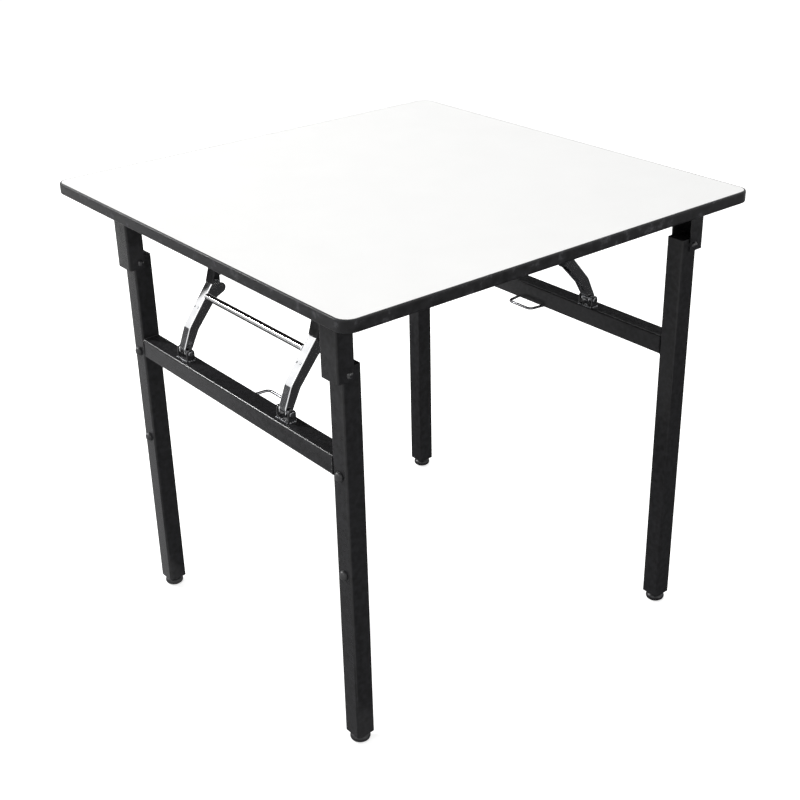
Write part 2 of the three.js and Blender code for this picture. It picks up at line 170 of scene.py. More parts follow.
cameraData = bpy.data.cameras.new("camera")
cameraData.sensor_width = cameraView["sensor"]
cameraData.lens = cameraView["lens"]
cameraData.clip_end = cameraView["farthest"]
camera = bpy.data.objects.new("camera", cameraData)
camera.location = cameraView["place"]
camera.rotation_euler = [math.radians(a) for a in cameraView["turnDegrees"]]
bpy.context.scene.collection.objects.link(camera)
bpy.context.scene.camera = camera
bpy.context.scene.view_settings.view_transform = "Standard"

# Studio: white floor and backdrop, soft boxes and an even fill

studio = {
    "fill": 0.36,  # of the world, on the object
    "floorSize": 40,
    "floorColour": "#efefee",
    "floorGlow": 0.7,  # what the floor adds for the camera, so that it reads white outside the shadow
    "floorShine": 0.04,  # what it adds where metal and gloss reflect it
    "lamps": [  # name, place, aimed at, size in metres, watts
        ("keyBox", (-3.4, -0.9, 3.0), (0, 0, 0.5), 2.4, 27),
        ("frontBox", (0.9, -4.2, 1.5), (0, 0, 0.4), 2.0, 20),
        ("topBox", (1.1, 0.5, 3.5), (0, 0, 0.7), 3.0, 42),
        ("rimBox", (-2.0, 3.4, 2.8), (-0.3, 0, 0.5), 0.6, 150),
    ],
    # cards that only reflections see: name, place, facing, turn in degrees about that, width and height in
    # metres, tone
    "cards": [
        ("floorCard", (0.86, 0.8, 0.004), (0, 0, 1), 0, 2.28, 5.6, "#2f2f30"),
        ("leftCard", (-0.73, 0.98, 0.005), (0, 0, 1), 31, 0.5, 1.7, "#d4d4d5"),
        ("nearCard", (-0.68, 0.28, 0.006), (0, 0, 1), 31, 0.34, 1.5, "#8a8a8b"),
        ("bandCard", (-1.45, 1.55, 0.006), (0, 0, 1), 0, 0.6, 1.3, "#2f2f30"),
        ("farCard", (0.4, 4.2, 0.35), (0, -1, 0), 0, 2.4, 0.9, "#2f2f30"),
        ("sideCard", (-4.1, 4.5, 0.62), (0.66, -0.75, 0), 0, 2.6, 1.1, "#525253"),
        ("backCard", (3.2, 4.2, 2.0), (-0.6, -0.8, 0), 0, 5.6, 3.8, "#2f2f30"),
    ],
}
white = toLinear("#ffffff")


def buildBackdrop():
    world = bpy.data.worlds.new("studioWorld")
    bpy.context.scene.world = world
    tree = emptyTree(world)
    rays = addNode(tree, "ShaderNodeLightPath")
    seen = addNode(tree, "ShaderNodeMath", {"operation": "MAXIMUM"})
    tree.links.new(rays.outputs["Is Camera Ray"], seen.inputs[0])
    shown = addNode(tree, "ShaderNodeMath", {"operation": "MAXIMUM"})
    tree.links.new(rays.outputs["Is Glossy Ray"], shown.inputs[0])
    tree.links.new(rays.outputs["Is Transmission Ray"], shown.inputs[1])
    tree.links.new(shown.outputs[0], seen.inputs[1])
    fill = addNode(tree, "ShaderNodeBackground", {"Color": white, "Strength": studio["fill"]})
    paper = addNode(tree, "ShaderNodeBackground", {"Color": white, "Strength": 1.0})
    mixed = addNode(tree, "ShaderNodeMixShader")
    tree.links.new(seen.outputs[0], mixed.inputs[0])
    tree.links.new(fill.outputs[0], mixed.inputs[1])
    tree.links.new(paper.outputs[0], mixed.inputs[2])
    addNode(tree, "ShaderNodeOutputWorld", links={"Surface": mixed.outputs[0]})


def floorPaper():
    material = bpy.data.materials.new("studioPaper")
    tree = emptyTree(material)
    rays = addNode(tree, "ShaderNodeLightPath")
    seen = addNode(tree, "ShaderNodeMath", {"operation": "MULTIPLY"})
    tree.links.new(rays.outputs["Is Camera Ray"], seen.inputs[0])
    seen.inputs[1].default_value = studio["floorGlow"]
    glow = addNode(tree, "ShaderNodeMath", {"operation": "MULTIPLY_ADD"})
    tree.links.new(rays.outputs["Is Glossy Ray"], glow.inputs[0])
    glow.inputs[1].default_value = studio["floorShine"]
    tree.links.new(seen.outputs[0], glow.inputs[2])
    matt = addNode(tree, "ShaderNodeBsdfDiffuse", {"Color": toLinear(studio["floorColour"])})
    light = addNode(tree, "ShaderNodeEmission", {"Color": white}, {"Strength": glow.outputs[0]})
    both = addNode(tree, "ShaderNodeAddShader")
    tree.links.new(matt.outputs[0], both.inputs[0])
    tree.links.new(light.outputs[0], both.inputs[1])
    addNode(tree, "ShaderNodeOutputMaterial", links={"Surface": both.outputs[0]})
    return material


def buildFloor():
    bm = bmesh.new()
    bmesh.ops.create_grid(bm, x_segments=1, y_segments=1, size=studio["floorSize"] / 2)
    floor = meshObject("floor", bm, floorPaper())


def hangLamps():
    for name, place, target, size, watts in studio["lamps"]:
        lamp = bpy.data.lights.new(name, "AREA")
        lamp.shape = "SQUARE"
        lamp.size = size
        lamp.energy = watts
        holder = bpy.data.objects.new(name, lamp)
        holder.location = place
        holder.rotation_euler = (Vector(target) - Vector(place)).to_track_quat("-Z", "Y").to_euler()
        bpy.context.scene.collection.objects.link(holder)


def standCards():
    for name, place, facing, turned, width, height, tone in studio["cards"]:
        material = bpy.data.materials.new(name + "Paper")
        tree = emptyTree(material)
        paper = addNode(tree, "ShaderNodeEmission", {"Color": toLinear(tone)})
        addNode(tree, "ShaderNodeOutputMaterial", links={"Surface": paper.outputs[0]})
        bm = bmesh.new()
        bmesh.ops.create_grid(bm, x_segments=1, y_segments=1, size=0.5)
        bmesh.ops.scale(bm, vec=(width, height, 1), verts=bm.verts)
        aim = Vector(facing).to_track_quat("Z", "Y").to_matrix().to_4x4()
        turn = aim @ Matrix.Rotation(math.radians(turned), 4, "Z")
        bmesh.ops.transform(bm, matrix=Matrix.Translation(place) @ turn, verts=bm.verts)
        card = meshObject(name, bm, material)
        card.visible_camera = card.visible_diffuse = card.visible_shadow = card.visible_transmission = False


buildBackdrop()
buildFloor()
hangLamps()
standCards()
print("camera and studio ready")

# Finishes, each named for the real material
#
# In every look, ramp gives the colours along the pattern, bump the relief's strength and its height in mm,
# edge the mm of rounding that an edge shows, and rough the least and the greatest roughness.

edgeSamples = 6
usualSpan = (0.3, 0.7)  # where nearly all values of a noise lie


def paceOf(size):  # a pattern's scale from its size in mm
    return 1 / (size * mm)


def bumpOf(look):
    strength, height = look["bump"]
    return {"Strength": strength, "Distance": height * mm}


def edgeOf(look):
    return {"Radius": look["edge"] * mm, "samples": edgeSamples}


def roughOf(look):
    start, end = look.get("span", usualSpan)
    smooth, dulled = look["rough"]
    return {"From Min": start, "From Max": end, "To Min": smooth, "To Max": dulled}


powderCoatLook = {
    "ramp": [(0.35, "#262627"), (0.65, "#2d2d2f")],
    "mottle": 9,  # mm between patches
    "grit": 1.6,  # mm; real grit is 0.3 mm, drawn coarser so that it shows
    "bump": (0.05, 0.3),
    "edge": 1.1,  # the thick coat rounds an edge
    "rough": (0.18, 0.26),
    "surface": {"Specular IOR Level": 0.25},
}
# the small brackets and bolts, painted glossier than the tubes
glossPaintLook = dict(powderCoatLook, ramp=[(0.35, "#2c2c2e"), (0.65, "#38383a")], edge=0.8,
                      rough=(0.1, 0.16), surface={"Specular IOR Level": 0.6})


# Black textured powder coat on steel: near black, a soft broad sheen, edges rounded by the thick coat
def blackCoat(name, look):
    material, tree, place, shader = startMaterial(name, look["surface"])
    mottle = addNode(tree, "ShaderNodeTexNoise", {"Scale": paceOf(look["mottle"]), "Detail": 3},
                     {"Vector": place})
    colour = addNode(tree, "ShaderNodeValToRGB", {"ramp": look["ramp"]}, {"Fac": mottle.outputs["Fac"]})
    grit = addNode(tree, "ShaderNodeTexNoise", {"Scale": paceOf(look["grit"]), "Detail": 2},
                   {"Vector": place})
    edge = addNode(tree, "ShaderNodeBevel", edgeOf(look))
    bump = addNode(tree, "ShaderNodeBump", bumpOf(look),
                   {"Height": grit.outputs["Fac"], "Normal": edge.outputs["Normal"]})
    rough = addNode(tree, "ShaderNodeMapRange", roughOf(look), {"Value": mottle.outputs["Fac"]})
    tree.links.new(colour.outputs["Color"], shader.inputs["Base Color"])
    tree.links.new(rough.outputs["Result"], shader.inputs["Roughness"])
    tree.links.new(bump.outputs["Normal"], shader.inputs["Normal"])
    return material


zincLook = {
    "ramp": [(0.3, "#eff0f2"), (0.7, "#fafafb")],
    "patch": 14,  # mm
    "ripple": 9,  # mm, the faint waviness of pressed sheet
    "bump": (0.05, 0.3),  # of the ripple
    "edge": 0.6,  # at the cut edges
    "rough": (0.06, 0.14),
    "rim": "#2a2a2c",  # painted reflection: a dark tone put into the colour where the plate turns from the viewer, standing in for dark things that it would mirror there
    "turned": (0.55, 0.8),  # how far the surface has turned from the viewer where the painted reflection starts and where it is full
    "surface": {"Metallic": 1.0},
}
# drawn round pieces have no waves and no cut edges, and the wire is greyer than the pressed pieces; both
# start their painted reflection at other turns
rodLook = dict(zincLook, bump=None, turned=(0.43, 0.56))
wireLook = dict(zincLook, ramp=[(0.3, "#7c7d80"), (0.7, "#a4a5a8")], bump=None, rough=(0.2, 0.3),
                turned=(0.15, 0.5))


# Bright zinc plate on steel: a mirror with softly clouded patches, slightly wavy where it is pressed sheet,
# with a painted reflection that darkens its colour where it turns from the viewer
def zincAndPaintedReflection(name, look):
    material, tree, place, shader = startMaterial(name, look["surface"])
    cloud = addNode(tree, "ShaderNodeTexNoise", {"Scale": paceOf(look["patch"]), "Detail": 4},
                    {"Vector": place})
    colour = addNode(tree, "ShaderNodeValToRGB", {"ramp": look["ramp"]}, {"Fac": cloud.outputs["Fac"]})
    rough = addNode(tree, "ShaderNodeMapRange", roughOf(look), {"Value": cloud.outputs["Fac"]})
    if look["bump"]:
        ripple = addNode(tree, "ShaderNodeTexNoise", {"Scale": paceOf(look["ripple"]), "Detail": 1},
                         {"Vector": place})
        edge = addNode(tree, "ShaderNodeBevel", edgeOf(look))
        bump = addNode(tree, "ShaderNodeBump", bumpOf(look),
                       {"Height": ripple.outputs["Fac"], "Normal": edge.outputs["Normal"]})
        tree.links.new(bump.outputs["Normal"], shader.inputs["Normal"])
    # painted reflection: the base colour is mixed towards a dark tone where the surface turns from the viewer
    start, end = look["turned"]
    facing = addNode(tree, "ShaderNodeLayerWeight", {"Blend": 0.5})
    paintedReflectionShare = addNode(tree, "ShaderNodeMapRange", {"From Min": start, "From Max": end},
                     {"Value": facing.outputs["Facing"]})
    shown = addNode(tree, "ShaderNodeMixRGB", {"Color2": toLinear(look["rim"])},
                    {"Fac": paintedReflectionShare.outputs["Result"], "Color1": colour.outputs["Color"]})
    tree.links.new(shown.outputs["Color"], shader.inputs["Base Color"])
    tree.links.new(rough.outputs["Result"], shader.inputs["Roughness"])
    return material


steelLook = {
    "ramp": [(0.3, "#6f7073"), (0.7, "#9c9da0")],
    "patch": 6,  # mm
    "bump": (0.15, 0.3),
    "edge": 0.4,
    "rough": (0.25, 0.42),
    "surface": {"Metallic": 1.0},
}


# Oiled mild steel of the top pins, screws, press marks and bracket welds: greyer and softer than the plate
def mildSteel():
    look = steelLook
    material, tree, place, shader = startMaterial("oiledMildSteel", look["surface"])
    cloud = addNode(tree, "ShaderNodeTexNoise", {"Scale": paceOf(look["patch"]), "Detail": 5},
                    {"Vector": place})
    colour = addNode(tree, "ShaderNodeValToRGB", {"ramp": look["ramp"]}, {"Fac": cloud.outputs["Fac"]})
    edge = addNode(tree, "ShaderNodeBevel", edgeOf(look))
    bump = addNode(tree, "ShaderNodeBump", bumpOf(look),
                   {"Height": cloud.outputs["Fac"], "Normal": edge.outputs["Normal"]})
    rough = addNode(tree, "ShaderNodeMapRange", roughOf(look), {"Value": cloud.outputs["Fac"]})
    tree.links.new(colour.outputs["Color"], shader.inputs["Base Color"])
    tree.links.new(rough.outputs["Result"], shader.inputs["Roughness"])
    tree.links.new(bump.outputs["Normal"], shader.inputs["Normal"])
    return material


laminateLook = {
    "ramp": [(0.3, "#f8f8f7"), (0.7, "#fafaf9")],
    "cloud": 60,  # mm
    "peel": 2.5,  # mm, the faint pebble of a pressed sheet
    "bump": (0.06, 0.3),
    "surface": {"Roughness": 0.38, "Specular IOR Level": 0.4},
}


# White high-pressure laminate: an even satin sheet with a barely seen pebble
def pressedLaminate():
    look = laminateLook
    material, tree, place, shader = startMaterial("pressedLaminate", look["surface"])
    cloud = addNode(tree, "ShaderNodeTexNoise", {"Scale": paceOf(look["cloud"]), "Detail": 2},
                    {"Vector": place})
    colour = addNode(tree, "ShaderNodeValToRGB", {"ramp": look["ramp"]}, {"Fac": cloud.outputs["Fac"]})
    peel = addNode(tree, "ShaderNodeTexNoise", {"Scale": paceOf(look["peel"]), "Detail": 2},
                   {"Vector": place})
    bump = addNode(tree, "ShaderNodeBump", bumpOf(look), {"Height": peel.outputs["Fac"]})
    tree.links.new(colour.outputs["Color"], shader.inputs["Base Color"])
    tree.links.new(bump.outputs["Normal"], shader.inputs["Normal"])
    return material


bandLook = {
    "ramp": [(0.36, "#1b1b1c"), (0.56, "#262628"), (0.72, "#4c4c4f")],  # the last is a scuff
    "streak": 16,  # mm along the edge
    "streakRough": 0.62,
    "grain": 3,  # mm
    "bump": (0.2, 0.4),
    "edge": 1.4,
    "rough": (0.34, 0.6),
    "span": (0.35, 0.7),
    "surface": {"Specular IOR Level": 0.2},
}


# Black extruded PVC edging: dark, with paler scuffed streaks where it was trimmed
def edgeVinyl():
    look = bandLook
    material, tree, place, shader = startMaterial("extrudedPvcEdging", look["surface"])
    streak = addNode(tree, "ShaderNodeTexNoise",
                     {"Scale": paceOf(look["streak"]), "Detail": 5, "Roughness": look["streakRough"]},
                     {"Vector": place})
    colour = addNode(tree, "ShaderNodeValToRGB", {"ramp": look["ramp"]}, {"Fac": streak.outputs["Fac"]})
    grain = addNode(tree, "ShaderNodeTexNoise", {"Scale": paceOf(look["grain"]), "Detail": 3},
                    {"Vector": place})
    edge = addNode(tree, "ShaderNodeBevel", edgeOf(look))
    bump = addNode(tree, "ShaderNodeBump", bumpOf(look),
                   {"Height": grain.outputs["Fac"], "Normal": edge.outputs["Normal"]})
    rough = addNode(tree, "ShaderNodeMapRange", roughOf(look), {"Value": streak.outputs["Fac"]})
    tree.links.new(colour.outputs["Color"], shader.inputs["Base Color"])
    tree.links.new(rough.outputs["Result"], shader.inputs["Roughness"])
    tree.links.new(bump.outputs["Normal"], shader.inputs["Normal"])
    return material


boardLook = {
    "ramp": [(0.3, "#7d5c3a"), (0.5, "#a8845a"), (0.7, "#c9a87c")],
    "chip": 4,  # mm
    "bump": (0.3, 0.4),
    "surface": {"Roughness": 0.85},
}


# Particle board: pressed chips of mixed browns
def particleBoard():
    look = boardLook
    material, tree, place, shader = startMaterial("particleBoard", look["surface"])
    chips = addNode(tree, "ShaderNodeTexVoronoi", {"Scale": paceOf(look["chip"])}, {"Vector": place})
    colour = addNode(tree, "ShaderNodeValToRGB", {"ramp": look["ramp"]}, {"Fac": chips.outputs["Distance"]})
    bump = addNode(tree, "ShaderNodeBump", bumpOf(look), {"Height": chips.outputs["Distance"]})
    tree.links.new(colour.outputs["Color"], shader.inputs["Base Color"])
    tree.links.new(bump.outputs["Normal"], shader.inputs["Normal"])
    return material


backingLook = {
    "ramp": [(0.3, "#231c18"), (0.55, "#2e2520"), (0.75, "#3a302a")],
    "fibre": 3,  # mm across the fibres
    "stretch": 0.18,  # how fast the pattern runs along the fibres, as a share of how fast it runs across them
    "bump": (0.15, 0.3),
    "surface": {"Roughness": 0.6},
}


# Brown kraft backing sheet under the board: dull, with long faint fibres
def kraftBacking():
    look = backingLook
    material, tree, place, shader = startMaterial("kraftBackingSheet", look["surface"])
    run = addNode(tree, "ShaderNodeMapping", {"Scale": (look["stretch"], 1, 1)}, {"Vector": place})
    fibre = addNode(tree, "ShaderNodeTexNoise", {"Scale": paceOf(look["fibre"]), "Detail": 6},
                    {"Vector": run.outputs["Vector"]})
    colour = addNode(tree, "ShaderNodeValToRGB", {"ramp": look["ramp"]}, {"Fac": fibre.outputs["Fac"]})
    bump = addNode(tree, "ShaderNodeBump", bumpOf(look), {"Height": fibre.outputs["Fac"]})
    tree.links.new(colour.outputs["Color"], shader.inputs["Base Color"])
    tree.links.new(bump.outputs["Normal"], shader.inputs["Normal"])
    return material


nylonLook = {
    "ramp": [(0.3, "#1f1f21"), (0.7, "#2b2b2d")],
    "patch": 5,  # mm
    "bump": (0.1, 0.3),
    "rough": (0.26, 0.4),
    "surface": {"Specular IOR Level": 0.4},
}


# Moulded black nylon of the glides and leg caps: dark grey with a clear soft highlight
def mouldedNylon():
    look = nylonLook
    material, tree, place, shader = startMaterial("mouldedNylon", look["surface"])
    cloud = addNode(tree, "ShaderNodeTexNoise", {"Scale": paceOf(look["patch"]), "Detail": 3},
                    {"Vector": place})
    colour = addNode(tree, "ShaderNodeValToRGB", {"ramp": look["ramp"]}, {"Fac": cloud.outputs["Fac"]})
    bump = addNode(tree, "ShaderNodeBump", bumpOf(look), {"Height": cloud.outputs["Fac"]})
    rough = addNode(tree, "ShaderNodeMapRange", roughOf(look), {"Value": cloud.outputs["Fac"]})
    tree.links.new(colour.outputs["Color"], shader.inputs["Base Color"])
    tree.links.new(rough.outputs["Result"], shader.inputs["Roughness"])
    tree.links.new(bump.outputs["Normal"], shader.inputs["Normal"])
    return material


rubberLook = {
    "ramp": [(0.3, "#262627"), (0.7, "#343436")],
    "patch": 3,  # mm
    "bump": (0.12, 0.3),
    "surface": {"Roughness": 0.4, "Specular IOR Level": 0.5},
}


# Moulded rubber of the bumpers: a little paler and duller than the nylon
def mouldedRubber():
    look = rubberLook
    material, tree, place, shader = startMaterial("mouldedRubber", look["surface"])
    cloud = addNode(tree, "ShaderNodeTexNoise", {"Scale": paceOf(look["patch"]), "Detail": 3},
                    {"Vector": place})
    colour = addNode(tree, "ShaderNodeValToRGB", {"ramp": look["ramp"]}, {"Fac": cloud.outputs["Fac"]})
    bump = addNode(tree, "ShaderNodeBump", bumpOf(look), {"Height": cloud.outputs["Fac"]})
    tree.links.new(colour.outputs["Color"], shader.inputs["Base Color"])
    tree.links.new(bump.outputs["Normal"], shader.inputs["Normal"])
    return material


finishes = {
    "laminate": pressedLaminate(),
    "board": particleBoard(),
    "backing": kraftBacking(),
    "band": edgeVinyl(),
    "black_paint": blackCoat("powderCoatedSteel", powderCoatLook),
    # zinc plate with a painted reflection: its colour darkens where it turns from the viewer
    "zinc": zincAndPaintedReflection("brightZincPlateAndPaintedReflection", zincLook),
    "steel": mildSteel(),
    "plastic": mouldedNylon(),
    "rubber": mouldedRubber(),
}

glossPaint = blackCoat("glossPaintedSteel", glossPaintLook)
# drawn rod and wire with the same painted reflection where they turn from the viewer
rodFinish = zincAndPaintedReflection("zincPlatedDrawnRodAndPaintedReflection", rodLook)
wireFinish = zincAndPaintedReflection("zincPlatedDrawnWireAndPaintedReflection", wireLook)

slotOfNode = {s["node"]: s["material_slot"] for s in frame["record"]["subparts"]}
for nodeName, nodeObject in frame["nodes"].items():
    nodeObject.data.materials.clear()
    nodeObject.data.materials.append(finishes[slotOfNode[nodeName]])
print("finishes assigned:", len(finishes))

# Where the pieces belong

bodyOfCorner = {"left": "frame_a", "near": "frame_a", "right": "frame_b", "far": "frame_b"}
sides = ("a", "b")
sideOfBrace = {"a_1": "a", "a_2": "a", "b_1": "b", "b_2": "b"}
tubeGrow = 1.4  # mm that the tube is wider than the solid on each side, and each crossbar shorter at each end

# Turned pieces: a profile spun about an axis

seamReach = 0.002 * mm  # points of a spun shape that are closer than this become one


# profile: (radius, height) in mm along the axis, closed at both ends on the axis
def spunShape(profile, origin, axis, steps):
    bm = bmesh.new()
    corners = [bm.verts.new((r * mm, 0, h * mm)) for r, h in profile]
    edges = [bm.edges.new(pair) for pair in zip(corners, corners[1:])]
    bmesh.ops.spin(bm, geom=corners + edges, cent=(0, 0, 0), axis=(0, 0, 1), dvec=(0, 0, 0),
                   angle=2 * math.pi, steps=steps, use_merge=True, use_duplicate=False)
    bmesh.ops.remove_doubles(bm, verts=bm.verts, dist=seamReach)
    bmesh.ops.recalc_face_normals(bm, faces=bm.faces)
    turn = Vector((0, 0, 1)).rotation_difference(Vector(axis)).to_matrix().to_4x4()
    bmesh.ops.transform(bm, matrix=Matrix.Translation(origin) @ turn, verts=bm.verts)
    return bm


glideShape = {
    "profile": [(0, 0), (8.4, 0), (9.6, 0.4), (12.6, 1.6), (14.6, 3.4), (15.4, 5.4), (15.5, 7.4), (14.9, 9.4),
                (13.6, 11.1), (12.2, 12.0), (11.6, 12.7), (11.5, 13.4), (11.5, 16.0), (0, 16.0)],
    "steps": 48,
}

for corner, body in bodyOfCorner.items():
    middle = centreOf("foot_" + corner)
    glide = spunShape(glideShape["profile"], (middle.x, middle.y, 0), (0, 0, 1), glideShape["steps"])
    piece = finishPiece("glide_" + corner, glide, finishes["plastic"], body, ["foot_" + corner])

bumperShape = {
    "profile": [(0, -2.8), (2.4, -2.8), (2.4, 0), (7.2, 0), (7.5, 0.4), (7.45, 1.6), (7.0, 3.0), (6.1, 4.3),
                (4.7, 5.3), (3.0, 5.8), (1.4, 5.97), (0, 6.0)],
    "steps": 36,
    "lift": 6.0,  # mm from the tube to the dome's crown
}


def bumperDome(corner, level):
    node = "bumper_" + corner + "_" + level
    low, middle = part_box(node)[0], centreOf(node)
    place = (low[0] + (bumperShape["lift"] - tubeGrow) * mm, middle.y, middle.z)
    dome = spunShape(bumperShape["profile"], place, (-1, 0, 0), bumperShape["steps"])
    piece = finishPiece("dome_" + corner + "_" + level, dome, finishes["rubber"], "frame_a", [node])


for corner in ("left", "near"):
    for level in ("upper", "lower"):
        bumperDome(corner, level)

tieRodShape = {"radius": 5.5, "shoulder": 0.8, "steps": 32}


def tieRod(side):
    node = "tie_rod_" + side
    low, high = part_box(node)
    middle = centreOf(node)
    length = (high[1] - low[1]) / mm
    r, s = tieRodShape["radius"], tieRodShape["shoulder"]
    profile = [(0, 0), (r - s, 0), (r, s), (r, length - s), (r - s, length), (0, length)]
    rod = spunShape(profile, (middle.x, low[1], middle.z), (0, 1, 0), tieRodShape["steps"])
    piece = finishPiece("round_rod_" + side, rod, rodFinish, "arms_" + side, [node])


for side in sides:
    tieRod(side)
print("turned pieces made")

# Wire loops: a circle of wire drawn along straights and turned round two corners

wireLoopShape = {
    "radius": 2.25,  # of the wire
    "rootReach": 20,  # how far the ends lie behind the crossbar's inner face
    "rootWidth": 64,  # between the two ends
    "tipWidth": 52,  # between the two corners
    "bend": 9,
    "around": 20,
    "steps": 7,
    "seamReach": 0.005,  # points closer than this become one
}


def bentWire(side, facing):
    shape = wireLoopShape
    low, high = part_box("wire_loop_" + side)
    middle = centreOf("wire_loop_" + side) - Vector((0, 0, tubeGrow * mm))
    bar = [corner[0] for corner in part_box("crossbar_" + side)]
    inner = max(bar) if facing > 0 else min(bar)
    tip = (high[0] if facing > 0 else low[0]) - facing * shape["radius"] * mm
    root = Vector((inner - facing * shape["rootReach"] * mm, shape["rootWidth"] / 2 * mm, middle.z))
    corner = Vector((tip, shape["tipWidth"] / 2 * mm, middle.z))
    run = corner - root
    turnAngle = math.pi / 2 + math.atan2(run.y, abs(run.x))
    back = shape["bend"] * mm * math.tan(turnAngle / 2)
    along = run.normalized()
    bm = bmesh.new()
    ring = bmesh.ops.create_circle(bm, radius=shape["radius"] * mm, segments=shape["around"],
                                   cap_ends=False)["verts"]
    turn = Vector((0, 0, 1)).rotation_difference(along).to_matrix().to_4x4()
    bmesh.ops.transform(bm, matrix=Matrix.Translation(root) @ turn, verts=ring)
    edges = list({e for v in ring for e in v.link_edges})
    bm.faces.new(ring)

    def drawStraight(edges, move):
        made = bmesh.ops.extrude_edge_only(bm, edges=edges)["geom"]
        bmesh.ops.translate(bm, vec=move, verts=[g for g in made if isinstance(g, bmesh.types.BMVert)])
        return [g for g in made if isinstance(g, bmesh.types.BMEdge)]

    def turnRound(edges, centre):
        angle = -facing * turnAngle
        made = bmesh.ops.spin(bm, geom=edges, cent=centre, axis=(0, 0, 1), dvec=(0, 0, 0), angle=angle,
                              steps=shape["steps"], use_merge=False, use_duplicate=False)["geom_last"]
        return [g for g in made if isinstance(g, bmesh.types.BMEdge)]

    start = root + run - along * back
    inward = Vector((along.y * facing, -along.x * facing, 0))
    across = shape["tipWidth"] * mm - 2 * back
    mirrored = Vector((start.x, -start.y, start.z))
    inwardAgain = Vector((inward.x, -inward.y, 0))
    edges = drawStraight(edges, run - along * back)
    edges = turnRound(edges, start + inward * shape["bend"] * mm)
    edges = drawStraight(edges, Vector((0, -across, 0)))
    edges = turnRound(edges, mirrored + inwardAgain * shape["bend"] * mm)
    edges = drawStraight(edges, Vector((root.x, -root.y, root.z)) - mirrored)
    bmesh.ops.edgeloop_fill(bm, edges=edges)
    bmesh.ops.remove_doubles(bm, verts=bm.verts, dist=shape["seamReach"] * mm)
    bmesh.ops.recalc_face_normals(bm, faces=bm.faces)
    piece = finishPiece("bent_wire_" + side, bm, wireFinish, "frame_" + side, ["wire_loop_" + side])


bentWire("a", 1)
bentWire("b", -1)
print("wire loops made")

# Square tube of the frames: rounded along its length, open at both ends

tubeShape = {"corner": 3, "wall": 1.5, "steps": 5, "rim": 0.3}


def tubeBox(node, axis):
    low, high = [Vector(c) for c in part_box(node)]
    wider = Vector((1, 1, 1)) * tubeGrow * mm
    wider[axis] = 0 if axis == 2 else -tubeGrow * mm
    return low - wider, high + wider


def tubePiece(name, node, axis, body):
    low, high = tubeBox(node, axis)
    bm = bmesh.new()
    addBlock(bm, high - low, (low + high) / 2)
    ends = [f for f in bm.faces if abs(f.normal[axis]) > mostly]
    bmesh.ops.delete(bm, geom=ends, context="FACES")
    long = [e for e in bm.edges if abs((e.verts[0].co - e.verts[1].co).normalized()[axis]) > mostly]
    roundEdges(bm, long, tubeShape["corner"], tubeShape["steps"])
    bmesh.ops.recalc_face_normals(bm, faces=bm.faces)
    bmesh.ops.solidify(bm, geom=bm.faces[:], thickness=tubeShape["wall"] * mm)
    roundEdges(bm, sharpEdges(bm), tubeShape["rim"], rimSteps)
    piece = finishPiece(name, bm, finishes["black_paint"], body, [node])


for corner, body in bodyOfCorner.items():
    tubePiece("leg_tube_" + corner, "leg_" + corner, 2, body)
for side in sides:
    tubePiece("cross_tube_" + side, "crossbar_" + side, 1, "frame_" + side)

# a moulded plug in each leg's upper end
capShape = {"width": 28, "depth": 6, "below": 0.8, "edge": 1.2, "steps": 3}


def legCap(corner, body):
    shape = capShape
    middle, legTop = centreOf("leg_" + corner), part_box("leg_" + corner)[1][2]
    place = (middle.x, middle.y, legTop - (shape["below"] + shape["depth"] / 2) * mm)
    bm = bmesh.new()
    addBlock(bm, Vector((shape["width"], shape["width"], shape["depth"])) * mm, place)
    roundEdges(bm, bm.edges[:], shape["edge"], shape["steps"])
    piece = finishPiece("leg_cap_" + corner, bm, finishes["plastic"], body)


for corner, body in bodyOfCorner.items():
    legCap(corner, body)
print("tubes made")

# Leg brackets: a pressed channel round each leg's upper end, with a base plate under the top

channelShape = {
    "outward": 1.5,  # mm that its web stands further out than the solid's
    "width": 38,  # along Y
    "wall": 2.5,
    "bend": 3,
    "bendSteps": 5,
    "edge": 0.3,
    "plateCorner": 3,
    "plateSteps": 4,
}


def channelPiece(corner, body):
    shape = channelShape
    low, high = [Vector(c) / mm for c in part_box("leg_bracket_" + corner)]
    out = -1 if body == "frame_a" else 1  # the way that the web faces
    web, front = (low.x - shape["outward"], high.x) if out < 0 else (high.x + shape["outward"], low.x)
    middle, half, wall = (low.y + high.y) / 2, shape["width"] / 2, shape["wall"]
    inner = web - out * wall
    outline = [(web, -half), (front, -half), (front, wall - half), (inner, wall - half), (inner, half - wall),
               (front, half - wall), (front, half), (web, half)]
    bm = bmesh.new()
    drawOut(bm, [(x * mm, (middle + y) * mm, low.z * mm) for x, y in outline],
            Vector((0, 0, high.z - low.z - wall)) * mm)
    bmesh.ops.recalc_face_normals(bm, faces=bm.faces)
    folds = [e for e in uprightEdges(bm.edges) if all(abs(v.co.x - web * mm) < samePlace for v in e.verts)]
    roundEdges(bm, folds, shape["bend"], shape["bendSteps"])
    plate = addBlock(bm, Vector((abs(web - front), high.y - low.y, wall)) * mm,
                     Vector(((web + front) / 2, middle, high.z - wall / 2)) * mm)
    roundEdges(bm, uprightEdges({e for v in plate for e in v.link_edges}), shape["plateCorner"],
               shape["plateSteps"])
    roundEdges(bm, sharpEdges(bm), shape["edge"], rimSteps, clamp=True)
    piece = finishPiece("channel_" + corner, bm, finishes["black_paint"], "top", ["leg_bracket_" + corner])


for corner, body in bodyOfCorner.items():
    channelPiece(corner, body)
print("leg brackets made")

# Edge band: a ring round the board, rounded at its corners and along both outer edges

bandShape = {"corner": 22, "wall": 3, "edge": 2.6, "steps": 16, "edgeSteps": 5}


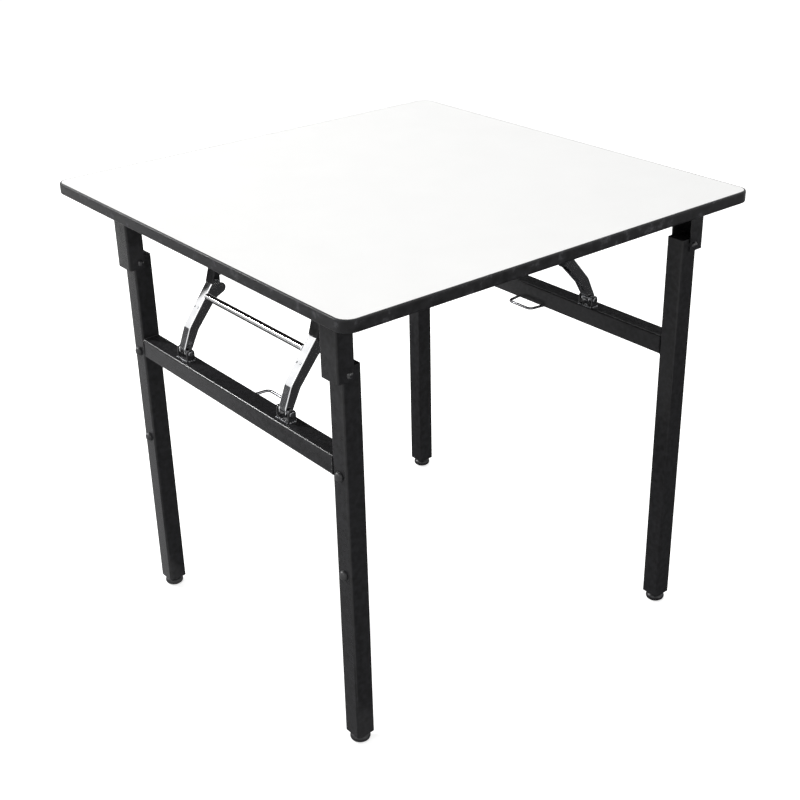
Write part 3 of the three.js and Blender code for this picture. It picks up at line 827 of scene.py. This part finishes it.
def edgeBand():
    low, high = [Vector(c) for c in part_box("edge_band")]
    bm = bmesh.new()
    addBlock(bm, high - low, (low + high) / 2)
    roundEdges(bm, uprightEdges(bm.edges), bandShape["corner"], bandShape["steps"])
    flats = [f for f in bm.faces if abs(f.normal.z) > mostly]
    bmesh.ops.inset_region(bm, faces=flats, thickness=bandShape["wall"] * mm, use_even_offset=True)
    middle = [f for f in bm.faces if abs(f.normal.z) > mostly and len(f.verts) > bandShape["steps"]]
    bmesh.ops.delete(bm, geom=middle, context="FACES")
    rims = [e for e in bm.edges if len(e.link_faces) == 1]
    bmesh.ops.bridge_loops(bm, edges=rims)
    bmesh.ops.recalc_face_normals(bm, faces=bm.faces)
    outer = [e for e in sharpEdges(bm) if any(abs(f.normal.z) < hardly and
                                              f.normal.dot(f.calc_center_median()) > 0 for f in e.link_faces)]
    roundEdges(bm, outer, bandShape["edge"], bandShape["edgeSteps"])
    piece = finishPiece("vinyl_band", bm, finishes["band"], "top", ["edge_band"])


edgeBand()
print("edge band made")

# Pressed sheet: an outline drawn out to its width, opened, and given the sheet's wall

sheetShape = {
    "steps": 6,  # of a corner of the outline
    "bendSteps": 4,
    "webReach": 1.2,  # mm that a face of the web may lie off the web's line, where that rounds a corner
    "rim": 0.16,  # rounding of the cut edges, as a share of the wall
    "onCut": 0.001,  # mm; points closer than this to a cut lie on it
}


# corners: (x, z, corner radius) in mm in the XZ plane. web: the run of the outline, (x, z) in mm, whose wall
# stays; the rest of the rim is open. stopped: (side, height) of a flange that ends at a height, measured from
# the origin.
def pressedSheet(corners, width, web, wall, bend, steps=sheetShape["steps"], stopped=None,
                 rim=sheetShape["rim"]):
    bm = bmesh.new()
    drawOut(bm, [(x * mm, -width / 2 * mm, z * mm) for x, z, r in corners], (0, width * mm, 0))
    for before, (x, z, radius), after in zip(corners[-1:] + corners[:-1], corners, corners[1:] + corners[:1]):
        if radius:
            here = Vector((x, z))
            half = (Vector(before[:2]) - here).angle(Vector(after[:2]) - here) / 2
            rounded = [e for e in bm.edges
                       if all((v.co.xz - here * mm).length < samePlace for v in e.verts)]
            roundEdges(bm, rounded, radius / math.tan(half), steps)
    bmesh.ops.recalc_face_normals(bm, faces=bm.faces)

    def onRim(face):
        return abs(face.normal.y) < halfway

    def onWeb(face):
        here = face.calc_center_median().xz / mm
        for start, end in zip(web, web[1:]):
            a, run = Vector(start), Vector(end) - Vector(start)
            share = (here - a).dot(run) / run.length_squared
            if 0 < share < 1 and (here - a - run * share).length < sheetShape["webReach"]:
                return True
        return False

    opened = [f for f in bm.faces if onRim(f) and not onWeb(f)]
    bmesh.ops.delete(bm, geom=opened, context="FACES")
    folds = [e for e in bm.edges
             if len(e.link_faces) == 2 and onRim(e.link_faces[0]) != onRim(e.link_faces[1])]
    roundEdges(bm, folds, bend, sheetShape["bendSteps"])
    if stopped:
        side, height = stopped
        flange = [f for f in bm.faces if f.normal.y * side > mostly]
        around = list({e for f in flange for e in f.edges}) + list({v for f in flange for v in f.verts})
        bmesh.ops.bisect_plane(bm, geom=flange + around, dist=sheetShape["onCut"] * mm,
                               plane_co=(0, 0, height * mm), plane_no=(0, 0, 1))
        below = [f for f in bm.faces if f.normal.y * side > mostly and f.calc_center_median().z < height * mm]
        bmesh.ops.delete(bm, geom=below, context="FACES")
    bmesh.ops.solidify(bm, geom=bm.faces[:], thickness=wall * mm)
    bmesh.ops.recalc_face_normals(bm, faces=bm.faces)
    roundEdges(bm, sharpEdges(bm), wall * rim, rimSteps, clamp=True)
    return bm


# Braces: a pressed arm on the frame and a pressed link under the top, which meet at the elbow

braceShape = {
    "span": (126, 205),  # from the foot pin to the top pin, where the brace stands unturned
    "armCorners": [(-6.5, -6.5, 6.4), (6.5, -6.5, 6.4), (6.5, 3.25, 6), (21.5, 33.5, 16), (57, 76.5, 22),
                   (78.65, 86.58, 8.4), (74.13, 98.99, 8.4), (51.5, 101, 0), (6.5, 41, 34), (-6.5, 7.5, 0)],
    "armWidth": 17,
    "armWeb": [(-6.5, 7.5), (6.5, 41), (51.5, 101)],
    "linkCorners": [(-74, -103, 0), (-63.08, -125.2, 9.3), (-48.37, -121.25, 9.3), (-49, -81, 16),
                    (12, 0.73, 8.3), (-0.73, 12, 8.3), (-13, -4.29, 0), (-65.5, -74, 14)],
    "linkWidth": 20.8,
    "linkWeb": [(-74, -103), (-65.5, -74), (-13, -4.29)],
    "linkStop": -92,  # the flange on the tie rod's side ends here, below the top pin
    "wall": 1.5,
    "bend": 1.5,
    "elbowFromTop": (-58, -114),
    "rivetHead": 5.5,
    "rivetHeight": 3.2,
    "rivetSteps": 28,
    "marks": [(26.3, 67.4, 4.5), (26.3, 67.4, -4.5)],  # press marks on the arm's web: x, z, across
    "markRadius": 1.7,
    "markHeight": 0.7,
    "markAxis": (-0.8, 0, 0.6),  # square to the web
    "markSteps": 20,
}
domeShape = {"base": 0.6, "rounds": 6}  # base: mm that a dome reaches into the sheet under it


# Where a brace's own upright plane stands: side b is turned to face the other way
def braceMatrix(origin, side):
    foot, top = centreOf("foot_pin_" + side + "_1"), centreOf("top_pin_" + side + "_1")
    run = Vector((abs(top.x - foot.x), top.z - foot.z))
    lean = math.atan2(braceShape["span"][1], braceShape["span"][0]) - math.atan2(run.y, run.x)
    around = Matrix.Rotation(math.pi if side == "b" else 0, 4, "Z")
    return Matrix.Translation(origin) @ around @ Matrix.Rotation(lean, 4, "Y")


def addTurned(bm, profile, origin, axis, steps):
    part = spunShape(profile, origin, axis, steps)
    spare = bpy.data.meshes.new("spare")
    part.to_mesh(spare)
    part.free()
    bm.from_mesh(spare)
    bpy.data.meshes.remove(spare)


def quarterTurn(rounds):
    return [math.pi / 2 * k / rounds for k in range(rounds + 1)]


def domeProfile(radius, height):
    base = domeShape["base"]
    arc = [(radius * math.cos(a), height * math.sin(a)) for a in quarterTurn(domeShape["rounds"])]
    return [(0, -base), (radius, -base)] + arc[:-1] + [(0, height)]


def pressMarks(name, side):
    shape = braceShape
    dome = domeProfile(shape["markRadius"], shape["markHeight"])
    marks = bmesh.new()
    for x, z, across in shape["marks"]:
        addTurned(marks, dome, (x * mm, across * mm, z * mm), shape["markAxis"], shape["markSteps"])
    bmesh.ops.transform(marks, matrix=braceMatrix(centreOf("foot_pin_" + name), side), verts=marks.verts)
    piece = finishPiece("press_marks_" + name, marks, finishes["steel"], "arms_" + side)


def pressedArm(name, side):
    shape = braceShape
    arm = pressedSheet(shape["armCorners"], shape["armWidth"], shape["armWeb"], shape["wall"], shape["bend"])
    bmesh.ops.transform(arm, matrix=braceMatrix(centreOf("foot_pin_" + name), side), verts=arm.verts)
    piece = finishPiece("pressed_arm_" + name, arm, finishes["zinc"], "arms_" + side, ["brace_arm_" + name])


def pressedLink(name, side):
    shape = braceShape
    rodSide = 1 if centreOf("tie_rod_" + side).y > centreOf("foot_pin_" + name).y else -1  # in the world
    localRod = -rodSide if side == "b" else rodSide
    link = pressedSheet(shape["linkCorners"], shape["linkWidth"], shape["linkWeb"], shape["wall"],
                        shape["bend"], stopped=(localRod, shape["linkStop"]))
    elbowX, elbowZ = shape["elbowFromTop"]
    face = shape["linkWidth"] / 2
    addTurned(link, domeProfile(shape["rivetHead"], shape["rivetHeight"]),
              (elbowX * mm, -localRod * face * mm, elbowZ * mm), (0, -localRod, 0), shape["rivetSteps"])
    bmesh.ops.transform(link, matrix=braceMatrix(centreOf("top_pin_" + name), side), verts=link.verts)
    piece = finishPiece("pressed_link_" + name, link, finishes["black_paint"], "links_" + side,
                        ["brace_link_" + name])


for name, side in sideOfBrace.items():
    if side == "a":
        pressMarks(name, side)
    pressedArm(name, side)
    pressedLink(name, side)
print("braces made")

# Pins and bolts along Y, with a head at both ends, and a collar where one is given

pinSteps = {"around": 28, "crown": 5, "chamfer": 0.4}
# flat: radius of the head's flat; low: how far the flat lies under the solid's end; rise: from that end down
# to the head's underside; collar: radius, from, to
footPinShape = {"shank": 3, "head": 5, "flat": 3.8, "low": 1, "rise": 3, "collar": (4.5, 8.8, 12.7)}
topPinShape = {"shank": 3, "head": 5, "flat": 3.6, "low": 0.6, "rise": 3, "collar": None}
pivotBoltShape = {"shank": 4, "head": 5.5, "flat": 1.5, "low": 0, "rise": 4.2, "collar": (8.5, 15.8, 16.4)}


def headedPin(node, shape, material, body):
    low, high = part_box(node)
    half = (high[1] - low[1]) / 2 / mm
    face, crownEnd = half - shape["rise"], half - shape["low"]
    shank, flat = shape["shank"], shape["flat"]
    edge = shape["head"] - flat
    crown = [(flat + edge * math.sin(a), crownEnd - edge * (1 - math.cos(a)))
             for a in quarterTurn(pinSteps["crown"])]
    end = [(0, crownEnd)] + crown + [(shape["head"], face), (shank, face)]
    if shape["collar"]:
        radius, near, far = shape["collar"]
        cut = pinSteps["chamfer"]
        end += [(shank, far), (radius - cut, far), (radius, far - cut), (radius, near + cut),
                (radius - cut, near), (shank, near)]
    profile = [(r, -h) for r, h in end] + [(r, h) for r, h in reversed(end)]
    pin = spunShape(profile, centreOf(node), (0, 1, 0), pinSteps["around"])
    piece = finishPiece("turned_" + node, pin, material, body, [node])


for name, side in sideOfBrace.items():
    headedPin("foot_pin_" + name, footPinShape, wireFinish, "frame_" + side)
    headedPin("top_pin_" + name, topPinShape, finishes["steel"], "top")
for corner in bodyOfCorner:
    headedPin("pivot_bolt_" + corner, pivotBoltShape, glossPaint, "top")
print("pins and bolts made")

# Foot brackets: one bent strip each, welded to the crossbar along its edges

footBracketShape = {
    "radius": 7,
    "crown": 0.97,  # the arch's corner radius, as a share of that
    "steps": 8,
    "rise": 13.2 - tubeGrow,  # of the pin above the crossbar
    "width": 30,
    "wall": 2,
    "bend": 2.6,
    "rim": 0.34,
    "bead": 1.9,
    "beadLift": 0.3,
    "beadFlat": (1, 1, 0.8),
    "beads": [(-7.6, y) for y in (-13, -8.6, -4, 0.4, 4.6, 9, 13)] +
             [(x, y) for x in (-4, 0, 4) for y in (-16, 16)] +
             [(7.6, y) for y in (-12, -6, 0, 6, 12)],
}
# no two beads of a weld are alike: the least size, what is added to it, and how fast that comes and goes
beadShape = {"least": 0.85, "more": 0.3, "pace": 2.4, "around": 12, "rings": 8}


def addBeads(bm, places, radius, flat):
    for number, place in enumerate(places):
        size = radius * (beadShape["least"] + beadShape["more"] * math.sin(number * beadShape["pace"]) ** 2)
        made = bmesh.ops.create_uvsphere(bm, u_segments=beadShape["around"], v_segments=beadShape["rings"],
                                         radius=size * mm)["verts"]
        bmesh.ops.scale(bm, vec=flat, verts=made)
        bmesh.ops.translate(bm, vec=place, verts=made)


def footBracket(name, side):
    shape = footBracketShape
    r, top = shape["radius"], shape["rise"] + shape["radius"]
    crown = r * shape["crown"]
    strip = pressedSheet([(-r, 0, 0), (r, 0, 0), (r, top, crown), (-r, top, crown)], shape["width"],
                         [(-r, 0), (r, 0)], shape["wall"], shape["bend"], shape["steps"], rim=shape["rim"])
    pin = centreOf("foot_pin_" + name)
    base = Vector((pin.x, pin.y, pin.z - shape["rise"] * mm))
    bmesh.ops.translate(strip, vec=base, verts=strip.verts)
    piece = finishPiece("bent_bracket_" + name, strip, glossPaint, "frame_" + side, ["foot_bracket_" + name])
    beads = bmesh.new()
    addBeads(beads, [base + Vector((x, y, shape["beadLift"])) * mm for x, y in shape["beads"]], shape["bead"],
             shape["beadFlat"])
    piece = finishPiece("bracket_weld_" + name, beads, finishes["steel"], "frame_" + side)


for name, side in sideOfBrace.items():
    footBracket(name, side)
print("foot brackets made")

# Weld runs where the crossbars meet the legs

weldShape = {
    "pitch": 2.6,
    "radius": 2.0,
    "inset": 3.2,  # the run stops short of the tube's rounded edges
    "sink": 0.5,  # of the beads' middles behind the tube's end
    "flat": (0.7, 0.7, 0.7),
}


def weldRun(side):
    shape = weldShape
    low, high = tubeBox("crossbar_" + side, 1)
    places = []
    count = int(((high[0] - low[0]) / mm - 2 * shape["inset"]) / shape["pitch"])
    for y in (low[1] + shape["sink"] * mm, high[1] - shape["sink"] * mm):
        for k in range(count + 1):
            along = (shape["inset"] + k * shape["pitch"]) * mm
            places += [(low[0] + along, y, low[2]), (low[0] + along, y, high[2])]
            places += [(low[0], y, low[2] + along), (high[0], y, low[2] + along)]
    bm = bmesh.new()
    addBeads(bm, places, shape["radius"], shape["flat"])
    piece = finishPiece("weld_runs_" + side, bm, finishes["black_paint"], "frame_" + side)


for side in sides:
    weldRun(side)
print("welds made")

# Pan-head screws under the top, in the holes of the leg brackets and the top brackets

screwShape = {
    # radius, height below the plate; the shank stops inside the plate
    "profile": [(0, -1.4), (1.9, -1.4), (1.9, 0), (4.1, 0), (4.3, 0.3), (4.2, 1.2), (3.6, 2.0), (2.4, 2.4),
                (1.2, 2.4), (0.9, 1.7), (0, 1.5)],
    "steps": 24,
    "fromEnd": 9,  # of a plate, along Y
    "pitch": 13,  # across a leg bracket's plate
    "topPlate": 2,  # mm thick, of a top bracket
}


def screwRow(name, node, wall, across):
    shape = screwShape
    low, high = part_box(node)
    bm = bmesh.new()
    for y in (low[1] + shape["fromEnd"] * mm, high[1] - shape["fromEnd"] * mm):
        for step in across:
            place = ((low[0] + high[0]) / 2 + step * mm, y, high[2] - wall * mm)
            addTurned(bm, shape["profile"], place, (0, 0, -1), shape["steps"])
    piece = finishPiece(name, bm, finishes["steel"], "top")


for corner in bodyOfCorner:
    half = screwShape["pitch"] / 2
    screwRow("leg_bracket_screws_" + corner, "leg_bracket_" + corner, channelShape["wall"], (-half, half))
for name in sideOfBrace:
    screwRow("top_bracket_screws_" + name, "top_bracket_" + name, screwShape["topPlate"], (0,))
print("screws made")
